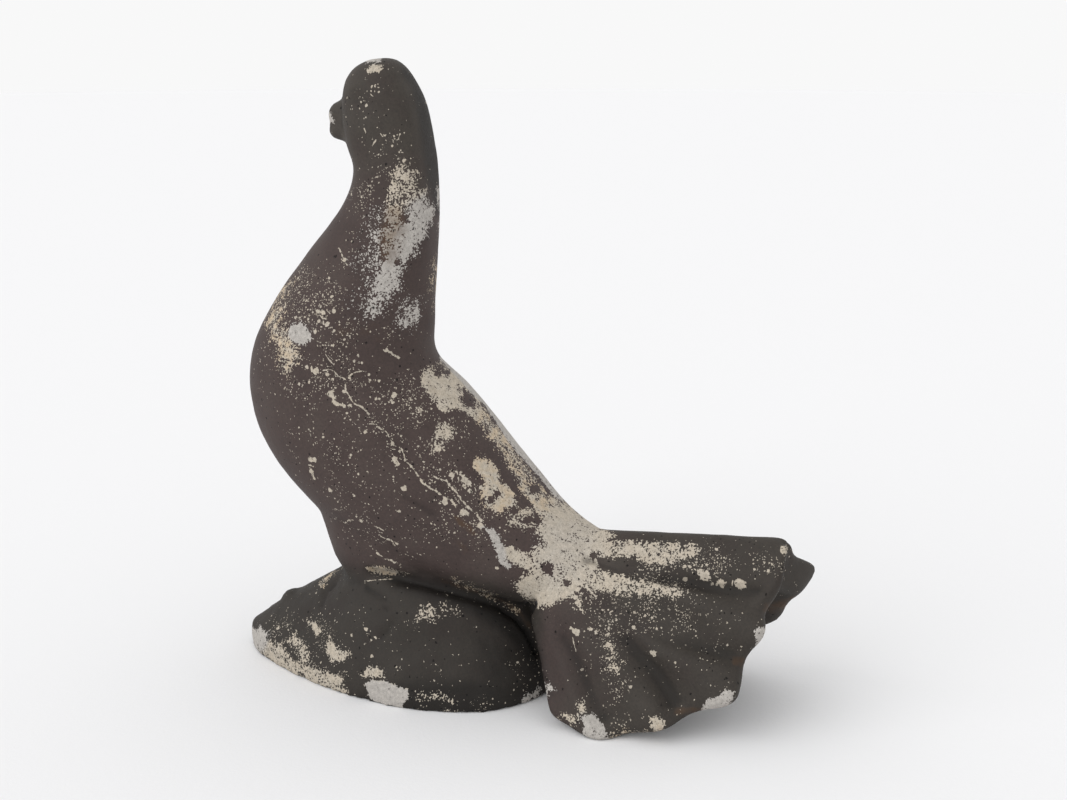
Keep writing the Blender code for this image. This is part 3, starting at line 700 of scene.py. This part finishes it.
def worn_at(places):
    """Return how much of each kind of wear the photograph shows at each place."""
    gone = {kind: np.zeros(len(places)) for kind in ("cream", "tan", "cement")}
    for kind, cover, edge, outline in WORN.values():
        inside = cover * rise(depth_inside(places, outline), -edge * 1.4, edge * 1.2)
        gone[kind] = np.maximum(gone[kind], inside)
    left = np.ones(len(places))
    for cover, edge, outline in LEFT_STRIPS.values():
        left *= 1.0 - cover * rise(depth_inside(places, outline), -edge, edge)
    for x, y, radius in LEFT_SPOTS:
        away = np.hypot(places[:, 0] - x, places[:, 1] - y)
        left *= rise(away, radius * 0.1, radius * 1.7)
    return {kind: found * left for kind, found in gone.items()}


def strayed(points):
    """Return how far each point's wear strays on the unseen side, in pixels."""
    x, y, z = (points / (STRAY_WAVE_MM * MM)).T
    sideways = np.sin(z + 2.0 * np.sin(0.6 * y)) + 0.5 * np.sin(2.3 * y + 1.7 * z + x)
    upward = np.sin(y + 2.0 * np.sin(0.7 * z) + x) + 0.5 * np.sin(2.9 * z - 1.3 * y)
    return STRAY_PIXELS * np.column_stack((sideways, upward))


def strength_at(places, areas):
    """Return the strongest of some soft-edged areas at each place."""
    found = np.zeros(len(places))
    for strength, edge, outline in areas.values():
        inside = strength * rise(depth_inside(places, outline), -edge, edge)
        found = np.maximum(found, inside)
    return found


def mark_wear(piece, looks):
    """Work out for every vertex how worn, stained and cracked its coat is, and where shade is painted on
    it.
    """
    mesh = piece.data
    points = read(mesh, mesh.vertices, 3, "co")
    normals = read(mesh, mesh.vertex_normals, 3, "vector")
    skin = skin_tree(mesh, points)
    seen = facing_share(points, normals, skin)
    facing, _to_camera = facing_camera(points, normals)
    places = seen_at(points) + strayed(points) * rise(-facing, 0.0, 0.2)[:, None]
    lift = ((blurred(mesh, points) - points) * normals).sum(1)

    # The unseen side wears about where the seen side does, but less, and hardly underneath.
    mirror = np.array((-1.0, 1.0, 1.0))
    other = worn_at(seen_at(points * mirror) + strayed(points))
    facing, _to_camera = facing_camera(points * mirror, normals * mirror)
    unseen = (1.0 - seen) * UNSEEN_WEAR * rise(facing, 0.1, 0.5) * rise(normals[:, 2], -0.8, -0.3)
    gone = {kind: found * seen + other[kind] * unseen for kind, found in worn_at(places).items()}
    worn = np.maximum.reduce(list(gone.values()))
    write(mesh, "worn", worn * looks.wear)
    write(mesh, "tan", gone["tan"] / np.maximum(worn, 0.01))
    write(mesh, "bare", gone["cement"] / np.maximum(worn, 0.01))
    write(mesh, "unseen", 1.0 - seen)

    flecked = np.full(len(points), FLECKS_ELSEWHERE)
    for cover, outline in FLECKED.values():
        flecked = np.maximum(flecked, cover * rise(depth_inside(places, outline), -10.0, 14.0))
    write(mesh, "flecked", flecked * seen + UNSEEN_FLECKS * (1.0 - seen))

    write(mesh, "rust", strength_at(places, RUSTED) * seen)
    # Painted shade: the shaded places are painted darker, on the unseen side from the mirrored outlines.
    shaded = strength_at(places, SHADED) * seen
    shaded += strength_at(seen_at(points * mirror), SHADED) * (1.0 - seen)
    write(mesh, "shaded", shaded)

    # A round spot is a line that ends where it starts.
    spots = [(radius, ((x, y), (x, y))) for x, y, radius in SPOTS]
    for kind, marks in (("line", LINES), ("spot", spots)):
        offset, nearest, size = nearest_mark(points, marks, skin)
        write(mesh, kind + "_away", offset)
        write(mesh, kind + "_near", nearest)
        write(mesh, kind + "_size", size * seen)

    y, z = points[:, 1], points[:, 2]
    olive = np.maximum(rise(z, *OLIVE_HEAD), rise(y, *OLIVE_TAIL))
    mound = rise(MOUND_TOP[0] - z, 0.0, MOUND_TOP[1]) * rise(MOUND_REAR[0] - y, 0.0, MOUND_REAR[1])
    write(mesh, "olive", np.maximum(olive, mound))
    write(mesh, "mound", mound)
    # Hollows of the skin, where shade is painted into the coat.
    write(mesh, "hollow", rise(lift, *HOLLOW_LIFT))


def skin_of(node, cell):
    """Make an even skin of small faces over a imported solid, a little softened."""
    work = bmesh.new()
    work.from_mesh(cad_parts[node].data)
    bmesh.ops.remove_doubles(work, verts=work.verts, dist=0.00001)
    mesh = bpy.data.meshes.new("worn_dove")
    work.to_mesh(mesh)
    work.free()
    piece = bpy.data.objects.new("worn_dove", mesh)
    bpy.context.scene.collection.objects.link(piece)
    remesh = piece.modifiers.new("even faces", "REMESH")
    remesh.mode = "VOXEL"
    remesh.voxel_size = cell
    remesh.use_smooth_shade = True
    smooth = piece.modifiers.new("soften", "SMOOTH")
    smooth.factor = 0.5
    smooth.iterations = 8
    plain(piece)
    return piece


def cast_skin_tree(material):
    """Build the node tree that gives the skin its slow waves and the mound its crust."""
    tree = bpy.data.node_groups.new("cast skin", "GeometryNodeTree")
    tree.interface.new_socket("Geometry", in_out="INPUT", socket_type="NodeSocketGeometry")
    for name in CAST_WAVES:
        tree.interface.new_socket(name, in_out="INPUT", socket_type="NodeSocketFloat")
    tree.interface.new_socket("Geometry", in_out="OUTPUT", socket_type="NodeSocketGeometry")
    given = add_node(tree, "NodeGroupInput")
    normal = add_node(tree, "GeometryNodeInputNormal")
    place = add_node(tree, "GeometryNodeInputPosition")
    waves = {}
    for name, (size, detail, rough) in CAST_WAVES.items():
        wave = add_node(tree, "ShaderNodeTexNoise", place, 1 / size, detail, rough)
        wave = add_node(tree, MATH, wave, 0.5, operation="SUBTRACT")
        waves[name] = add_node(tree, MATH, wave, given.outputs[name], operation="MULTIPLY")
    mound = add_node(tree, "GeometryNodeInputNamedAttribute", "mound", data_type="FLOAT")
    lumps = add_node(tree, MATH, waves["Crust"], mound, operation="MULTIPLY")
    height = add_node(tree, MATH, waves["Undulation"], lumps, operation="ADD")
    offset = add_node(tree, "ShaderNodeVectorMath", normal, operation="SCALE")
    tree.links.new(height.outputs[0], offset.inputs["Scale"])
    moved = add_node(tree, "GeometryNodeSetPosition", given.outputs["Geometry"])
    tree.links.new(offset.outputs[0], moved.inputs["Offset"])
    real = add_node(tree, "GeometryNodeRealizeInstances", moved)
    dressed = add_node(tree, "GeometryNodeSetMaterial", real)
    dressed.inputs["Material"].default_value = material
    add_node(tree, "NodeGroupOutput", dressed)
    return tree


def cast(piece, looks, material):
    """Give the skin its cast waves, crust and material, and keep the underside flat."""
    tree = cast_skin_tree(material)
    modifier = piece.modifiers.new("cast skin", "NODES")
    modifier.node_group = tree
    heights = {"Undulation": looks.undulation * 2.0, "Crust": looks.crust * 2.0}
    for item in tree.interface.items_tree:
        if item.name in heights:
            modifier[item.identifier] = heights[item.name]
    plain(piece)
    points = read(piece.data, piece.data.vertices, 3, "co")
    points[:, 2] = np.maximum(points[:, 2], 0.0)
    move_to(piece.data, points)


def worn_coat(looks):
    """Make the coat: matt masonry paint brushed over cream undercoat on cast cement.

    The eye reads a dull dark umber skin with a faint soft gloss, and where it has flaked,
    chalky cream and grey with ragged edges, sunk by the thickness of the paint.
    """
    material = bpy.data.materials.new("worn_paint_on_cement")
    material.use_nodes = True
    tree = material.node_tree
    shader = tree.nodes["Principled BSDF"]
    place = add_node(tree, "ShaderNodeTexCoord").outputs["Object"]
    kept = {}
    for name in ("worn", "tan", "bare", "unseen", "flecked", "rust", "olive", "mound", "hollow",
                 "shaded", "line_away", "line_near", "line_size", "spot_away", "spot_near",
                 "spot_size"):
        output = "Vector" if name.endswith("away") else "Fac"
        kept[name] = add_node(tree, "ShaderNodeAttribute", attribute_name=name).outputs[output]

    bend = add_node(tree, "ShaderNodeTexNoise", place, 1 / BEND_SIZE, 2.0, 0.6)
    bend = add_node(tree, "ShaderNodeVectorMath", bend.outputs["Color"], (0.5, 0.5, 0.5),
                    operation="SUBTRACT")
    bend = add_node(tree, "ShaderNodeVectorMath", bend, operation="SCALE")
    bend.inputs["Scale"].default_value = BEND_REACH
    bent = add_node(tree, "ShaderNodeVectorMath", place, bend, operation="ADD")
    noise = {}
    for name, (size, detail, rough, is_bent) in NOISES.items():
        noise[name] = add_node(tree, "ShaderNodeTexNoise", bent if is_bent else place, 1 / size,
                               detail, rough)

    # Ragged edges of the worn places: flakes of millimetres, crumbs and fine specks.
    ragged = add_node(tree, MIX, 0.44, noise["flakes"], noise["crumbs"])
    ragged = add_node(tree, MIX, 0.34, ragged, noise["fine"])
    drifted = add_node(tree, RANGE, noise["drift"], 0.56, 0.74, 0.0, 0.8)
    drifted = add_node(tree, MATH, drifted, kept["unseen"], operation="MULTIPLY")
    worn = add_node(tree, MATH, drifted, kept["worn"], operation="MAXIMUM")
    thinned = add_node(tree, RANGE, noise["drift"], 0.36, 0.6, 0.84, 1.06)
    worn = add_node(tree, MATH, worn, thinned, operation="MULTIPLY")
    level = add_node(tree, RANGE, ragged, 0.37, 0.63, -0.46, 0.46)
    level = add_node(tree, MATH, level, worn, operation="ADD")
    patches = add_node(tree, RANGE, level, 0.47, 0.53)

    # Flecks, coarse and fine: small flakes in a share of the cells, thicker in places.
    crowd = add_node(tree, RANGE, noise["crowd"], 0.38, 0.62, 0.25, 1.9)
    crowd = add_node(tree, MATH, crowd, kept["flecked"], operation="MULTIPLY")
    gone = patches
    for cell, least, more, often in FLECKS:
        cells = add_node(tree, "ShaderNodeTexVoronoi", bent, 1 / cell)
        chance = add_node(tree, "ShaderNodeSeparateColor", cells.outputs["Color"])
        there = add_node(tree, MATH, crowd, often, operation="MULTIPLY")
        there = add_node(tree, MATH, chance.outputs[0], there, operation="LESS_THAN")
        size = add_node(tree, MATH, chance.outputs[1], more, least, operation="MULTIPLY_ADD")
        uneven = add_node(tree, MATH, noise["fine"], 1.4, 0.3, operation="MULTIPLY_ADD")
        size = add_node(tree, MATH, size, uneven, operation="MULTIPLY")
        round_one = add_node(tree, MATH, cells.outputs["Distance"], size, operation="LESS_THAN")
        flecks = add_node(tree, MATH, there, round_one, operation="MULTIPLY")
        gone = add_node(tree, MATH, gone, flecks, operation="MAXIMUM")

    # Cracks, scratches and round spots at their own places, broken here and there.
    thick = add_node(tree, RANGE, noise["crumbs"], 0.36, 0.62, 0.0, 0.85)
    lumpy = add_node(tree, RANGE, noise["crumbs"], 0.3, 0.7, 0.5, 1.4)
    for kind, uneven in (("line", thick), ("spot", lumpy)):
        away = add_node(tree, "ShaderNodeVectorMath", kept[kind + "_away"], operation="LENGTH")
        limit = add_node(tree, MATH, kept[kind + "_size"], uneven, operation="MULTIPLY")
        near = add_node(tree, MATH, away.outputs["Value"], limit, operation="LESS_THAN")
        fence = add_node(tree, MATH, kept[kind + "_size"], MARK_FENCE, operation="ADD")
        close = add_node(tree, MATH, kept[kind + "_near"], fence, operation="LESS_THAN")
        mark = add_node(tree, MATH, near, close, operation="MULTIPLY")
        gone = add_node(tree, MATH, gone, mark, operation="MAXIMUM")

    # The dark coat: umber on the body, greyer elsewhere, mottled by brush and weather, and painted darker
    # low on the mound and in the shaded places, as painted shade.
    shifted = add_node(tree, RANGE, noise["mottle"], 0.35, 0.65, -0.25, 0.25)
    shifted = add_node(tree, MATH, shifted, kept["olive"], operation="ADD", use_clamp=True)
    coat = add_node(tree, MIX, shifted, looks.umber, looks.olive, data_type="RGBA")
    tone = add_node(tree, RANGE, noise["mottle"], 0.3, 0.7, 0.84, 1.16)
    grainy = add_node(tree, RANGE, noise["specks"], 0.3, 0.7, 0.75, 1.25)
    tone = add_node(tree, MATH, tone, grainy, operation="MULTIPLY")
    # Painted shade: low on the mound the coat is painted a third darker.
    low = add_node(tree, RANGE, kept["mound"], 0.0, 1.0, 1.0, 0.66)
    tone = add_node(tree, MATH, tone, low, operation="MULTIPLY")
    # Painted shade: the shaded places darken the coat.
    shade = add_node(tree, MATH, 1.0, kept["shaded"], operation="SUBTRACT")
    tone = add_node(tree, MATH, tone, shade, operation="MULTIPLY")
    coat = add_node(tree, MIX, 1.0, coat, tone, data_type="RGBA", blend_type="MULTIPLY")
    stain = add_node(tree, MATH, kept["rust"], noise["flakes"], operation="MULTIPLY")
    stain = add_node(tree, RANGE, stain, 0.1, 0.45)
    coat = add_node(tree, MIX, stain, coat, looks.rust, data_type="RGBA")

    # What lies under the coat, sandy and stained, with rust that has seeped through.
    warm = add_node(tree, RANGE, noise["flakes"], 0.42, 0.62)
    stained = add_node(tree, MATH, kept["tan"], 0.75, 0.2, operation="MULTIPLY_ADD")
    warm = add_node(tree, MATH, warm, stained, operation="MULTIPLY")
    under = add_node(tree, MIX, warm, looks.cream, looks.tan, data_type="RGBA")
    under = add_node(tree, MIX, kept["bare"], under, looks.cement, data_type="RGBA")
    sand = add_node(tree, "ShaderNodeTexNoise", place, 1 / looks.grain, 2.0, 0.6)
    sandy = add_node(tree, RANGE, sand, 0.25, 0.75, 0.7, 1.2)
    blotchy = add_node(tree, RANGE, noise["crumbs"], 0.3, 0.7, 0.82, 1.12)
    sandy = add_node(tree, MATH, sandy, blotchy, operation="MULTIPLY")
    under = add_node(tree, MIX, 1.0, under, sandy, data_type="RGBA", blend_type="MULTIPLY")
    seeped = add_node(tree, MATH, stain, 0.5, operation="MULTIPLY")
    under = add_node(tree, MIX, seeped, under, looks.rust, data_type="RGBA")

    # Pinholes of the casting, and shade painted into them and into the skin's hollows.
    pinhole = 0.0
    for cell in PINHOLE_CELLS:
        holes = add_node(tree, "ShaderNodeTexVoronoi", bent, 1 / cell)
        chance = add_node(tree, "ShaderNodeSeparateColor", holes.outputs["Color"])
        there = add_node(tree, MATH, chance.outputs[2], 0.6, operation="LESS_THAN")
        hole = add_node(tree, RANGE, holes.outputs["Distance"], 0.07, 0.11, 1.0, 0.0)
        pinhole = add_node(tree, MATH, hole, there, pinhole, operation="MULTIPLY_ADD")
    # Painted shade: pinholes and hollows darken the coat and what lies under it.
    hollow_shade = add_node(tree, MATH, kept["hollow"], 0.45, operation="MULTIPLY")
    dark = add_node(tree, MATH, pinhole, 0.85, hollow_shade, operation="MULTIPLY_ADD", use_clamp=True)
    unshaded = add_node(tree, MATH, 1.0, dark, operation="SUBTRACT")
    base = add_node(tree, MIX, gone, coat, under, data_type="RGBA")
    base = add_node(tree, MIX, 1.0, base, unshaded, data_type="RGBA", blend_type="MULTIPLY")
    tree.links.new(base.outputs[2], shader.inputs["Base Color"])
    dull = add_node(tree, RANGE, noise["specks"], 0.3, 0.7, 0.55, 0.78)
    dull = add_node(tree, MIX, gone, dull, 0.9)
    tree.links.new(dull.outputs[0], shader.inputs["Roughness"])
    shader.inputs["IOR"].default_value = 1.5
    shader.inputs["Specular IOR Level"].default_value = looks.gloss

    # Heights in millimetres: the coat's own thickness, brush marks, sand and pinholes.
    height = add_node(tree, MATH, gone, -0.14, operation="MULTIPLY")
    for rough, high in ((noise["specks"], 0.12), (sand, 0.06), (noise["crumbs"], 0.1),
                        (pinhole, -0.4)):
        height = add_node(tree, MATH, rough, high, height, operation="MULTIPLY_ADD")
    bump = add_node(tree, "ShaderNodeBump", 0.8, MM)
    tree.links.new(height.outputs[0], bump.inputs["Height"])
    tree.links.new(bump.outputs["Normal"], shader.inputs["Normal"])
    return material


class DOVE_OT_statue(bpy.types.Operator):
    """Dress the cast dove and its mound as one piece in worn paint"""

    bl_idname = "dove.statue"
    bl_label = "Dove on its mound"

    def execute(self, context):
        """Build the skin, mark its wear and give it its coat."""
        looks = context.scene.dove_looks
        piece = skin_of(NODE, looks.cell)
        carve(piece)
        mark_wear(piece, looks)
        cast(piece, looks, worn_coat(looks))
        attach(piece, "root")
        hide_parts(NODE)
        return {"FINISHED"}


def key_light(looks):
    """Hang the wide soft light that comes from the camera's upper left."""
    lamp = bpy.data.lights.new("key", "SUN")
    lamp.energy = looks.key_strength
    lamp.angle = looks.key_softness
    hung = bpy.data.objects.new("key", lamp)
    hung.rotation_euler = (-Vector(KEY_FROM)).to_track_quat("-Z", "Y").to_euler()
    bpy.context.scene.collection.objects.link(hung)


class DOVE_OT_studio(bpy.types.Operator):
    """Lay the pale floor, hang the lights and stand the camera"""

    bl_idname = "dove.studio"
    bl_label = "Studio"

    def execute(self, context):
        """Build the stage."""
        looks = context.scene.studio_looks
        work = bmesh.new()
        bmesh.ops.create_circle(work, cap_ends=True, radius=looks.floor_reach, segments=96)
        mesh = bpy.data.meshes.new("floor")
        work.to_mesh(mesh)
        work.free()
        floor = bpy.data.objects.new("floor", mesh)
        context.scene.collection.objects.link(floor)
        paper = bpy.data.materials.new("matt_paper")
        paper.use_nodes = True
        tree = paper.node_tree
        shader = tree.nodes["Principled BSDF"]
        place = add_node(tree, "ShaderNodeTexCoord").outputs["Object"]
        tooth = add_node(tree, "ShaderNodeTexNoise", place, 1 / 0.002, 3.0, 0.6)
        bump = add_node(tree, "ShaderNodeBump", 0.1, MM)
        tree.links.new(tooth.outputs["Fac"], bump.inputs["Height"])
        tree.links.new(bump.outputs["Normal"], shader.inputs["Normal"])
        shader.inputs["Base Color"].default_value = looks.floor
        shader.inputs["Roughness"].default_value = 0.9
        mesh.materials.append(paper)

        world = bpy.data.worlds.new("studio")
        world.use_nodes = True
        world.node_tree.nodes["Background"].inputs["Color"].default_value = (1, 1, 1, 1)
        world.node_tree.nodes["Background"].inputs["Strength"].default_value = looks.fill
        context.scene.world = world
        key_light(looks)
        context.scene.view_settings.view_transform = "Standard"

        lens = bpy.data.cameras.new("photograph")
        lens.lens = LENS_MM
        lens.sensor_width = SENSOR_MM
        lens.clip_start = 0.01
        camera = bpy.data.objects.new("photograph", lens)
        camera.location = CAMERA_PLACE
        aim = Vector(CAMERA_AIM) - Vector(CAMERA_PLACE)
        camera.rotation_euler = aim.to_track_quat("-Z", "Y").to_euler()
        context.scene.collection.objects.link(camera)
        context.scene.camera = camera
        return {"FINISHED"}


class DOVE_PT_panel(bpy.types.Panel):
    """Lists the steps that build the statue and its studio"""

    bl_idname = "DOVE_PT_panel"
    bl_label = "Worn dove"
    bl_space_type = "VIEW_3D"
    bl_region_type = "UI"
    bl_category = "Dove"

    def draw(self, context):
        """Show every value and every step."""
        for group in (context.scene.dove_looks, context.scene.studio_looks):
            for name in group.bl_rna.properties.keys():
                if name not in ("rna_type", "name"):
                    self.layout.prop(group, name)
        for step in STEPS:
            self.layout.operator(step.bl_idname)


STEPS = (DOVE_OT_statue, DOVE_OT_studio)
CLASSES = (DoveLooks, StudioLooks, *STEPS, DOVE_PT_panel)


def register():
    """Make the classes and their values known."""
    for made in CLASSES:
        bpy.utils.register_class(made)
    bpy.types.Scene.dove_looks = bpy.props.PointerProperty(type=DoveLooks)
    bpy.types.Scene.studio_looks = bpy.props.PointerProperty(type=StudioLooks)


def unregister():
    """Forget the classes and their values."""
    del bpy.types.Scene.studio_looks
    del bpy.types.Scene.dove_looks
    for made in reversed(CLASSES):
        bpy.utils.unregister_class(made)


def main():
    """Build the statue and the studio."""
    register()
    bpy.ops.dove.statue()
    bpy.ops.dove.studio()


if __name__ == "__main__":
    main()
